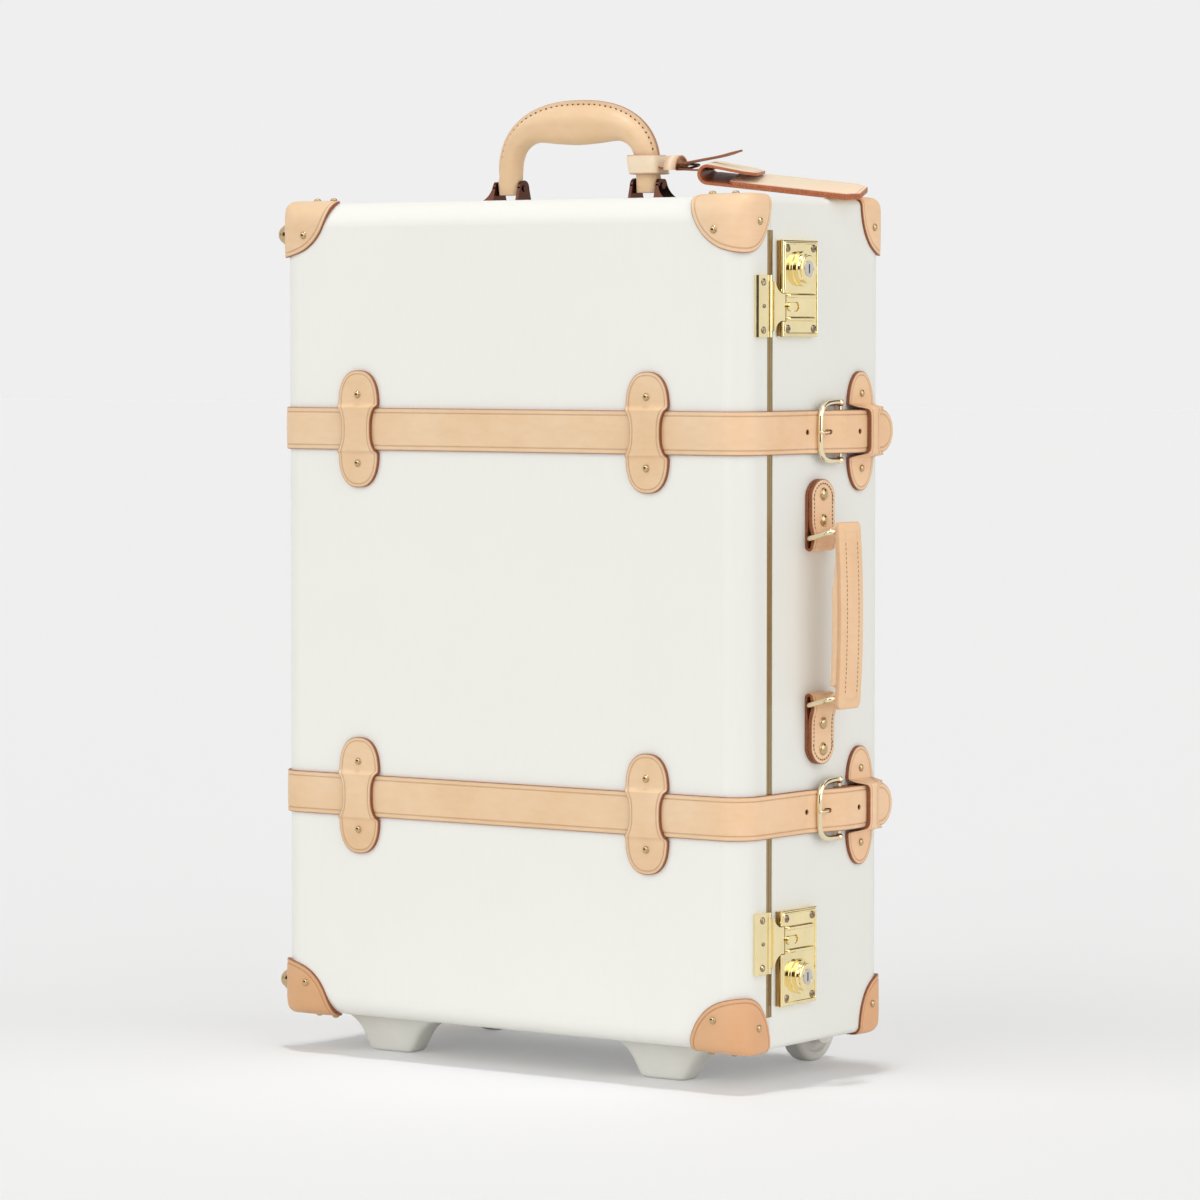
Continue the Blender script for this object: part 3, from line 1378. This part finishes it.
@dataclass
class LuggageTag:
    """Folded leather tag with two leaves, and the band and thin strap that tie it to the handle."""

    origin: tuple[float, float, float] = (124.0, -17.0, 620.5)
    turns: tuple[float, float, float] = (23.0, 6.5, 11.0)
    long: float = 114.0
    half: float = 23.0
    lean: float = 5.0
    fold: float = 5.4
    cut: Cut = Cut(thick=2.2, crease=2.6, groove=0.25, bevel=0.6, swell=0.1)
    tie_cut: Cut = Cut(thick=1.4, crease=1.6, groove=0.15, bevel=0.4, swell=0.1)
    tie_rows: int = 60
    band_foot: tuple[float, float] = (62.6, 629.5)
    band_half: tuple[float, float] = (10.6, 9.1)
    band_tall: float = 14.0
    band_slant: float = 0.16
    keeper_middle: tuple[float, float, float] = (88.0, -0.5, 632.0)
    keeper_half: tuple[float, float] = (7.6, 9.6)
    buckle_middle: tuple[float, float, float] = (98.0, 0.5, 634.6)
    buckle_half: tuple[float, float] = (6.0, 8.4)
    buckle_slope: float = 0.22
    buckle_wire: float = 0.95

    def build(self) -> None:
        """Make the tag, then its band, strap, keeper and small buckle."""
        bend = np.linspace(math.pi / 2, 3 * math.pi / 2, 33)
        flap = grid(np.linspace(37, 2.4, 26), np.linspace(10.0, 12.95, 26))
        fold = grid(2 + self.fold * np.cos(bend), 7.6 + self.fold * np.sin(bend))
        leaf = grid(np.linspace(2.6, self.long, 60), 2.2)
        lean = np.concatenate([np.full(26, self.lean), np.linspace(self.lean, 0, 33), np.zeros(60)])
        form = Form()
        self.leaf(form, np.concatenate([flap, fold, leaf]), (8.0, 9.0), lean)
        self.leaf(form, grid(np.linspace(18, self.long, 56), 2.35), (3.0, 9.0), np.zeros(56), -1.0)
        form.finish("luggage_tag_leather", Slot.LEATHER, Body.TAG, ["luggage_tag"], "tag_leather")
        self.band()
        self.lead()
        self.keeper()
        self.buckle()

    def turned(self, p: Array) -> Array:
        """Turn and move points of the tag's own frame into case coordinates."""
        yaw, drop, roll = (math.radians(v) for v in self.turns)
        rz = np.array([[math.cos(yaw), -math.sin(yaw), 0], [math.sin(yaw), math.cos(yaw), 0], [0, 0, 1]])
        ry = np.array([[math.cos(drop), 0, math.sin(drop)], [0, 1, 0], [-math.sin(drop), 0, math.cos(drop)]])
        rx = np.array([[1, 0, 0], [0, math.cos(roll), -math.sin(roll)], [0, math.sin(roll), math.cos(roll)]])
        return p @ (rz @ ry @ rx).T + np.array(self.origin)

    def leaf(self, form: Form, path: Array, corners: tuple[float, float], lean: Array,
             side: float = 1.0) -> None:
        """Add a leaf along a line of the tag's own (x, z) plane.

        Args:
            form: mesh to add to.
            path: line of the leaf's inner face.
            corners: how much its first and its last corners are cut off.
            lean: how far its far side hangs lower, along the line.
            side: 1 for a thickness on the right of the line as it runs, -1 for the left.
        """
        along, out = length(path), side * right_of(path)
        total = along[-1]
        fine = np.unique(np.concatenate([along, np.linspace(0, 4, 14), total - np.linspace(0, 10, 30)]))
        first, last = np.clip(corners[0] - fine, 0, None), np.clip(corners[1] - (total - fine), 0, None)
        half = self.half - np.maximum(first, last)

        def distance(a: Array, s: Array) -> Array:
            edge = np.interp(a, fine, half) - np.abs(s)
            return np.minimum(np.minimum(edge, a), total - a)

        def place(a: Array, s: Array, h: Array) -> Array:
            x, z = (np.interp(a, along, path[:, k]) + np.interp(a, along, out[:, k]) * h for k in (0, 1))
            hang = np.interp(a, along, lean) * (0.5 + s / 2 / self.half)
            return self.turned(grid(x, self.half + s, z - hang))

        blank(form, fine, half, distance, self.cut, place)

    def band(self) -> None:
        """Make the band round the handle's right leg: a rounded section swept round a rounded rectangle."""
        c, d = (v[:, None] for v in superellipse(circle(96), 0.42))
        section = np.array([(0, 0.4), (0.3, 0), (1.8, 0), (2.2, 0.5), (2.35, 1.5), (2.5, 7), (2.35, 12.5),
                            (2.2, 13.5), (1.8, 14), (0.3, 14), (0, 13.6), (0, 7)])
        raw = np.array([1, 1, 0.9, 0.4, 0, 0, 0, 0.4, 0.9, 1, 1, 0.0])
        grow, up = section.T
        (x, foot), (long, wide) = self.band_foot, self.band_half
        slant = self.band_slant * (up - self.band_tall / 2)
        ring = grid(x + (long + grow) * c - slant, (wide + grow) * d, foot + up)
        form = Form().tube(ring, raw, ring=True)
        form.finish("tag_band_leather", Slot.LEATHER, Body.TOP_HANDLE, ["tag_strap"], "tag_leather")

    def lead(self) -> None:
        """Make the thin strap from the band to the tag, and its loose tip."""
        hold = self.turned(np.array([4.0, self.half, 9.0]))
        ends = np.array([[74.5, 0, 634], [84, -0.5, 632.6], [97, 0.5, 631.6], [110, 2.0, 631.2], hold])
        tip = np.array([[88, -1, 634.6], [98, 0.5, 636.6], [111, 3, 638.8], [125, 6, 641.2], [140, 9, 645.0]])
        rows = np.linspace(0, 1, self.tie_rows)
        lead = self.tie("tag_lead_leather", ends, np.full(self.tie_rows, 6.0), None)
        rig.blend(lead, Body.TOP_HANDLE.value, Body.BASE.value, to_row(np.array([77.0, 0, 634])),
                 to_row(hold - np.array([6.0, 0, 0])))
        narrow = 3.8 * (1 - 0.75 * smooth((rows - 0.86) / 0.14))
        loose = self.tie("tag_tip_leather", tip, narrow, "pale_leather")
        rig.blend(loose, Body.BASE.value, Body.TAG.value, to_row(np.array([112.0, 3.0, 635.4])),
                 to_row(np.array([126.0, 6.0, 638.2])))

    def tie(self, name: str, knots: Array, half: Array, look: Optional[str]) -> bpy.types.Object:
        """Make a thin flat strap through five points.

        Args:
            name: object name.
            knots: the points of its middle line.
            half: half width at each row.
            look: special finish, if any.

        Returns:
            The object.
        """
        rows = np.linspace(0, 1, self.tie_rows)
        line = through(np.linspace(0, 1, len(knots)), knots, rows)
        step = heading(line)
        across = unit(np.cross([0, 0, 1.0], step))
        up = np.cross(step, across)

        def place(a: Array, s: Array, h: Array) -> Array:
            i = np.round(a * (self.tie_rows - 1)).astype(int)
            return line[i] + across[i] * s[..., None] + up[i] * h[..., None]

        form = Form()
        blank(form, rows, half, lambda a, s: np.interp(a, rows, half) - np.abs(s), self.tie_cut, place)
        return form.finish(name, Slot.LEATHER, look=look)

    def keeper(self) -> None:
        """Make the pale loop over the thin strap."""
        arch = np.linspace(0, math.pi, 25)
        (x, y, z), (wide, tall) = self.keeper_middle, self.keeper_half
        loop = grid(x, y + wide * np.cos(arch), z + tall * np.sin(arch))[:, None]
        out = grid(0.0, np.cos(arch), np.sin(arch))[:, None]
        section = np.array([(-5.2, 0), (-5.2, 1.3), (0, 1.6), (5.2, 1.3), (5.2, 0), (0, 0)])
        form = Form().tube(loop + section[:, :1] * np.array(RIGHT) + section[:, 1:] * out,
                           np.array([1, 0.6, 0, 0.6, 1, 0]))
        form.finish("tag_keeper_leather", Slot.LEATHER, Body.TOP_HANDLE, look="tag_leather")

    def buckle(self) -> None:
        """Make the small wire buckle on the thin strap."""
        c, d = superellipse(circle(72), 0.5)
        (x, y, z), (long, wide) = self.buckle_middle, self.buckle_half
        form = Form()
        line = grid(x + long * c, y + wide * d, z + self.buckle_slope * (long * c))
        sweep(form, line, self.buckle_wire, True)
        form.finish("tag_buckle_wire", Slot.BRASS, Body.TOP_HANDLE, look="dark_bronze")


@dataclass
class SideHandle:
    """Flat bowed grip with a padded roll behind it, held by two folded tabs and wire rings."""

    low: float = 243.0
    high: float = 377.5
    half: float = 15.0
    corner: float = 4.5
    stand: float = 25.4
    bowed: float = 2.6
    pivot: float = 365.0
    ring_x: float = 213.75
    ring_long: float = 22.0
    ring_half: float = 17.5
    ring_wire: float = 2.05
    tilt: float = 16.0
    fold: float = 359.6
    tab_end: float = 408.0
    tab_round: float = 15.7
    tab_inset: float = 3.1
    tab_pitch: float = 2.9
    seam_inset: float = 13.0
    seam_pitch: float = 3.3
    seam_half: float = 7.6
    pad_half: float = 13.3
    pad_deep: tuple[float, float] = (9.2, 5.0)
    fold_x: float = 234.9
    fold_heights: tuple[float, float] = (371.1, 251.1)
    cut: Cut = Cut(thick=3.0, crease=7.4, groove=0.3, bevel=1.7, swell=1.3, burnish=0.3)
    tab_cut: Cut = Cut(thick=2.8, crease=3.4, groove=0.2, bevel=0.7, swell=0.1)

    def build(self) -> None:
        """Make the grip with its pad and stitches, then both tabs and rings."""
        self.grip()
        self.pad()
        self.seam()
        for level, move in LEVELS.items():
            self.tab(level, move)
            self.ring(level)

    def bow(self, z: Array) -> Array:
        """Return the side of the grip's underside at a height."""
        t = (z - (self.low + self.high) / 2) / ((self.high - self.low) / 2)
        return SIDE + self.stand + self.bowed * (1 - t * t)

    def grip(self) -> None:
        """Make the flat strip with round corners."""
        ease = 6 * np.linspace(0, 1, 16) ** 2
        z = np.concatenate([self.low + ease[:-1], np.linspace(self.low + 6, self.high - 6, 120),
                            self.high - ease[-2::-1]])
        gap, r = np.minimum(z - self.low, self.high - z), self.corner
        half = self.half - r + np.sqrt(np.clip(r * r - np.clip(r - gap, 0, None) ** 2, 0, None))

        def distance(a: Array, s: Array) -> Array:
            side, end = self.half - np.abs(s), np.minimum(a - self.low, self.high - a)
            corner = r - np.hypot(np.maximum(r - side, 0), np.maximum(r - end, 0))
            return np.where((side < r) & (end < r), corner, np.minimum(side, end))

        form = Form()
        blank(form, z, half, distance, self.cut, lambda a, s, h: grid(self.bow(a) + h, SIDE_HANDLE_Y + s, a))
        form.finish("side_grip_leather", Slot.LEATHER, Body.SIDE_HANDLE, ["side_handle"])

    def pad(self) -> None:
        """Make the roll under the strip, and the folds round both rings' outer bars."""
        rows = np.concatenate([[258.0, 258.3, 259], np.linspace(260, 362, 90), [363, 363.7, 364]])[:, None]
        size = np.sqrt(np.clip(1 - ((np.abs(rows - 311) - 50) / 3.4).clip(0, 1) ** 2, 0.5, 1))
        full, less = self.pad_deep
        deep = full - less * smooth((rows - 322) / 34)
        c, d = superellipse(circle(64), 0.62)
        side = np.minimum(self.bow(rows) + 0.2 + deep * size * c, self.bow(rows) + 0.9)
        form = Form().tube(grid(side, SIDE_HANDLE_Y + self.pad_half * size * d, rows))
        fold = [(3.0, 0), (4.2, 0.5), (4.5, 1.2), (4.5, 23.8), (4.2, 24.5), (3.0, 25)]
        for bar in self.fold_heights:
            lathe(form, (self.fold_x, SIDE_HANDLE_Y - 12.5, bar), (0, 1, 0), fold)
        piece = form.finish("side_pad_leather", Slot.LEATHER, Body.SIDE_HANDLE, look="pale_leather")
        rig.padded(piece, 0.8)

    def seam(self) -> None:
        """Make two rows of stitches along the strip."""
        form = Form()
        at = np.arange(self.low + self.seam_inset, self.high - self.seam_inset + 0.1, self.seam_pitch)
        lift = self.bow(at) + self.cut.top(np.array(self.cut.crease)) + 0.02
        for s in (self.seam_half, -self.seam_half):
            places = grid(lift, SIDE_HANDLE_Y + s, at)
            stitches(form, places, np.array(RIGHT, float), np.array(UP, float), 1.1, 0.7)
        form.finish("side_grip_stitches", Slot.LEATHER, Body.SIDE_HANDLE, look="waxed_thread")

    def bulge(self, z: Array) -> Array:
        """Return how far a tab swells over the ring's inner bar at a height, from 0 to 1."""
        return np.exp(-(((z - self.pivot) / 7) ** 2))

    def tab(self, level: str, move: Move) -> None:
        """Make one tab: a strip folded round the ring's inner bar, with stitches round its outer leaf."""
        z = np.linspace(self.tab_end, self.fold, 64)[:-1]
        under = grid(SIDE + 2.8 - 1.15 * self.bulge(z), z)
        over = grid(SIDE + 3.3 + 2.65 * self.bulge(z), z)[::-1]
        middle, wrap = (under[-1, 0] + over[0, 0]) / 2, (over[0, 0] - under[-1, 0]) / 2
        turn = np.linspace(math.pi, 2 * math.pi, 25)
        bend = grid(middle + wrap * np.cos(turn), self.fold + wrap * np.sin(turn))
        path = np.concatenate([under, bend, over])
        along, out = length(path), right_of(path)
        thin = 2.0 + 0.8 * smooth((over[:, 1] - self.fold) / 12)
        thick = np.concatenate([under[:, 0] - SIDE, np.full(len(turn), 2.0), thin])
        ease = np.linspace(0, 12, 40) ** 2 / 12
        fine = np.unique(np.concatenate([along, ease, along[-1] - ease]))
        height, r = np.interp(fine, along, path[:, 1]), self.tab_round
        round_end = np.sqrt(np.clip(r * r - (height - self.tab_end + r) ** 2, 0.06, None))
        half = np.where(height > self.tab_end - 11, round_end, self.half)

        def place(a: Array, s: Array, h: Array) -> Array:
            h = h * np.interp(a, along, thick) / self.tab_cut.thick
            x, zz = (np.interp(a, along, path[:, k]) + np.interp(a, along, out[:, k]) * h for k in (0, 1))
            return grid(x, SIDE_HANDLE_Y + s, zz)

        leather, sewn = Form(), Form()
        blank(leather, fine, half, nearest(fine, half), self.tab_cut, place)
        inset, turned = self.tab_inset, r - self.tab_inset
        rise = np.arange(self.pivot + 8, self.tab_end - 11, self.tab_pitch)
        arc = np.arange(0.0, math.pi + 0.01, self.tab_pitch / turned)
        line = np.concatenate([grid(self.half - inset, rise),
                               grid(turned * np.cos(arc), self.tab_end - r + turned * np.sin(arc)),
                               grid(inset - self.half, rise[::-1])])
        run = heading(line)
        lift = SIDE + 6.12 + 2.65 * self.bulge(line[:, 1])
        stitches(sewn, grid(lift, SIDE_HANDLE_Y + line[:, 0], line[:, 1]), np.array(RIGHT, float),
                 grid(0.0, run[:, 0], run[:, 1]), 0.8, 0.6)
        leather.moved(move).finish(f"{level}_tab_leather", Slot.LEATHER, Body.BASE, [f"{level}_side_tab"])
        sewn.moved(move).finish(f"{level}_tab_stitches", Slot.LEATHER, Body.BASE, look="waxed_thread")

    def ring(self, level: str) -> None:
        """Make one wire ring, which leans the same way at both tabs."""
        pivot = self.pivot if level == "upper" else 2 * MID - self.pivot
        lean = math.radians(self.tilt)
        a, b = superellipse(np.linspace(0, 2 * math.pi, 2000), 2 / 6.5)
        run = self.ring_long / 2 * (1 + a)
        dense = grid(self.ring_x + run * math.cos(lean), SIDE_HANDLE_Y + self.ring_half * b,
                     pivot + run * math.sin(lean))
        form = Form()
        sweep(form, evenly(dense, 160, True), self.ring_wire, True, 20)
        form.finish(f"{level}_ring_wire", Slot.BRASS, Body(f"{level}_ring"), [f"{level}_handle_ring"],
                    "pale_gold")


# Buckles, locks and feet

@dataclass
class Buckles:
    """Round wire frames with large corners and a bowed front bar, on heel bars with ball ends."""

    half: float = 21.0
    reach: float = 30.0
    lean: float = 5.3
    wire: float = 2.1
    bowed: float = 2 / 4.2
    ball: Profile = ((0.4, 0), (1.9, 0.35), (2.9, 1.3), (3.25, 2.6), (2.9, 4.0), (2.2, 4.9), (1.7, 5.3))
    tip: Profile = ((1.0, -0.8), (1.3, 0), (1.55, 0.9), (1.4, 1.7), (0.8, 2.3), (0.05, 2.45))

    def build(self) -> None:
        """Make both frames: one side of a superellipse, swept by a round wire, and the tongue's ball tip."""
        c, d = superellipse(np.linspace(-math.pi / 2, math.pi / 2, 3000), self.bowed)
        lean = math.radians(self.lean)
        reach = self.reach * c
        dense = grid(HEEL_BAR[0] + reach * math.sin(lean), HEEL_BAR[1] - reach * math.cos(lean),
                     STRAP_Z + self.half * d)
        line = evenly(dense, 150, False)
        end = 2 * self.half + 5.2
        turned = [*self.ball, *((r, end - h) for r, h in self.ball[::-1])]
        for level, move in LEVELS.items():
            form = Form()
            sweep(form, line, self.wire, False, 20)
            lathe(form, (*HEEL_BAR, STRAP_Z - end / 2), UP, turned, 28)
            lathe(form, (SIDE + 9.7, -5.4, STRAP_Z), (0, -1, 0), self.tip, 24)
            node = f"{level}_buckle"
            form.moved(move).finish(f"{node}_wire", Slot.BRASS, Body.BASE, [node], "pale_gold")


@dataclass
class Locks:
    """Detail on the two lock plates: a turned drum, a bead round the plate, ribs and slotted screws."""

    y: float = -27.6
    z: float = 544.7
    face: float = 215.3
    bead: tuple[float, float] = (20.8, 32.3)
    bead_round: float = 2.2
    bead_wire: float = 0.95
    rib: float = 1.75
    drum_up: float = 14.1
    bead_ends: tuple[float, float] = (-1.0, -26.0)
    ribs: tuple[float, float] = (-5.2, -21.7)
    strips: Profile = ((-2.6, 34.0), (-34.0, -24.3))
    strip_y: float = -23.0
    screw_half: tuple[float, float] = (16.5, 28.6)
    screw_radius: float = 2.75
    hasp_screw: tuple[float, float] = (213.5, -72.4)
    hasp_heights: tuple[float, float] = (-29.7, 4.3)
    hasp_radius: float = 2.6
    hasp_rivet: tuple[float, float, float] = (213.4, -71.6, -12.7)
    drum: Profile = ((5.75, 1.0), (5.75, 6.6), (6.2, 7.2), (8.9, 7.35), (9.6, 7.1), (10.0, 6.5), (11.2, 2.1),
                     (11.4, 1.7), (12.3, 1.6), (12.6, 1.2), (12.6, -0.2), (9.0, -0.2))
    skirt: Profile = ((210.2, 0.05), (210.2, -0.25), (211.4, -0.5), (212.0, -0.15), (212.6, -0.5),
                      (213.8, -0.5), (214.5, -0.12), (214.5, 0.05))

    def build(self) -> None:
        """Make the trim of both locks and the screws of the hasp plates."""
        trim, skirts, screws, hasp = (Form() for _ in range(4))
        self.trim(trim)
        self.skirts(skirts)
        wide, tall = self.screw_half
        for s in (wide, -wide):
            for up in (tall, -tall):
                centre = (self.face, self.y + s, self.z + up)
                self.screw(screws, centre, self.screw_radius, 0.4 * s + 0.1 * up)
        for up in self.hasp_heights:
            self.screw(hasp, (*self.hasp_screw, self.z + up), self.hasp_radius, 0.9 * up)
        x, y, up = self.hasp_rivet
        lathe(hasp, (x, y, self.z + up), RIGHT, dome_profile(1.5, 1.2, 0.3, 8), 24)
        for form in (trim, skirts, screws, hasp):
            form.copies(mirror_z)
        trim.finish("lock_trim", Slot.BRASS, Body.BASE)
        skirts.finish("lock_skirts", Slot.BRASS, Body.BASE, look="dark_gold")
        screws.finish("lock_screw_heads", Slot.BRASS, Body.BASE, ["lock_screws"], "screw_brass", 35)
        hasp.finish("hasp_screw_heads", Slot.BRASS, Body.LID, (), "screw_brass", 35)

    def trim(self, form: Form) -> None:
        """Add the drum round the key plug, the bead round the plate and two ribs beside the button."""
        radius, height = np.array(self.drum, float).T[..., None]
        spin = circle(80)
        form.tube(grid(self.face + height, self.y + radius * np.cos(spin),
                       self.z + self.drum_up + radius * np.sin(spin)), ring=True)
        wide, tall = self.bead
        a, b, top, bottom = self.y - wide, self.y + wide, self.z + tall, self.z - tall
        first, last = self.bead_ends
        line = self.rounded(np.array([(a, self.z + first), (a, top), (b, top), (b, bottom), (a, bottom),
                                      (a, self.z + last)]), self.bead_round)
        sweep(form, grid(self.face, line[:, 0], line[:, 1]), self.bead_wire, False, 12)
        span = np.concatenate([[-44.6, -44.2, -43.6], np.linspace(-43, -11.5, 20),
                               [-10.9, -10.3, -9.9]])[:, None]
        ends = ((np.abs(span + 27.25) - 15.75) / 1.65).clip(0, 1)
        size = self.rib * np.sqrt(np.clip(1 - ends ** 2, 0.05, 1))
        spin = circle(24)
        for up in self.ribs:
            form.tube(grid(self.face + 1.15 * size * np.cos(spin), span, self.z + up + size * np.sin(spin)))

    def skirts(self, form: Form) -> None:
        """Add the two moulded strips down the plate's front edge."""
        side, out = np.array(self.skirt).T
        grow = np.array([0.2, 1.0, 1.0, 0.2])[:, None]
        for low, high in self.strips:
            rows = self.z + np.array([low, low + 0.3, high - 0.3, high])[:, None]
            form.tube(grid(side, self.y + self.strip_y + out * grow, rows))

    @staticmethod
    def rounded(corners: Array, r: float) -> Array:
        """Return a line through corners with each inner corner rounded."""
        parts = [corners[:1]]
        t = np.linspace(0, 1, 9)[:, None]
        for before, corner, after in zip(corners, corners[1:], corners[2:]):
            a, b = corner - unit(corner - before) * r, corner + unit(after - corner) * r
            parts.append((1 - t) ** 2 * a + 2 * t * (1 - t) * corner + t ** 2 * b)
        return np.concatenate(parts + [corners[-1:]])

    @staticmethod
    def screw(form: Form, centre: Sequence[float], radius: float, turn: float) -> None:
        """Add a low domed screw head with a slot.

        Args:
            form: mesh to add to.
            centre: point on the plate.
            radius: radius of the head.
            turn: angle of the slot in radians.
        """
        share = np.concatenate([np.linspace(0.02, 0.9, 18), [0.95, 1.0]])
        spin = circle(72)
        r = radius * share[::-1, None]
        across = r * np.sin(spin - turn)
        height = 0.25 + 0.75 * np.sqrt(np.clip(1 - (r / radius) ** 2 * 0.96, 0, 1))
        height = height - 0.6 * smooth((0.62 - np.abs(across)) / 0.25) * (r < radius * 0.93)
        head = grid(centre[0] + height, centre[1] + r * np.cos(spin), centre[2] + r * np.sin(spin))
        base = head[:1].copy()
        base[..., 0] = centre[0] - 0.3
        form.tube(np.concatenate([base, head]))


@dataclass
class Feet:
    """Two moulded feet: a flared top that draws in to a narrow pad, with soft corners throughout."""

    places: tuple[float, float] = (-136.5, 113.5)
    front: float = -57.0
    back: float = -32.0
    drops: tuple[float, ...] = (-0.3, 1.0, 2.4, 4.6, 8.0, 12.5, 18.0, 23.0, 26.0, 27.8, 28.7, 29.0)
    long: tuple[float, ...] = (50, 48, 44.5, 39.5, 34, 29.3, 25.6, 22.8, 21.0, 19.3, 17.4, 15.5)
    deep: tuple[float, ...] = (12.5, 12.5, 12.4, 12.3, 12.1, 11.9, 11.6, 11.3, 11.0, 10.2, 8.8, 7.2)

    def build(self) -> None:
        """Make both feet: rounded rectangles stacked by height."""
        fine = np.concatenate([np.linspace(0.3, -26, 50), np.linspace(-26.2, -29, 18)])
        shape = through(np.array(self.drops), grid(self.long, self.deep), -fine)
        c, d = superellipse(circle(120), 0.36)
        middle = (self.front + self.back) / 2
        for name, x in zip(("left", "right"), self.places):
            form, node = Form(), f"front_foot_{name}"
            form.tube(grid(x + shape[:, :1] * c, middle + shape[:, 1:] * d, fine[:, None]))
            form.finish(f"{node}_moulding", Slot.FOOT, Body.BASE, [node])


def main() -> None:
    """Build every sub-assembly in order and report it."""
    PALETTE.build()
    Studio().build()
    for assembly in (Straps(), Guides(), CornerCaps(), Rivets(), TopHandle(), LuggageTag(), SideHandle(),
                     Buckles(), Locks(), Feet()):
        assembly.build()
        log.info("built %s", type(assembly).__name__)


if __name__ == "__main__":
    logging.basicConfig(level=logging.INFO)
    main()
    with open("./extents.json", "w") as size_file:
        json.dump({"cad": [list(c) for c in CAD_BOX], "visual": [list(c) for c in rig.bounds()]}, size_file)
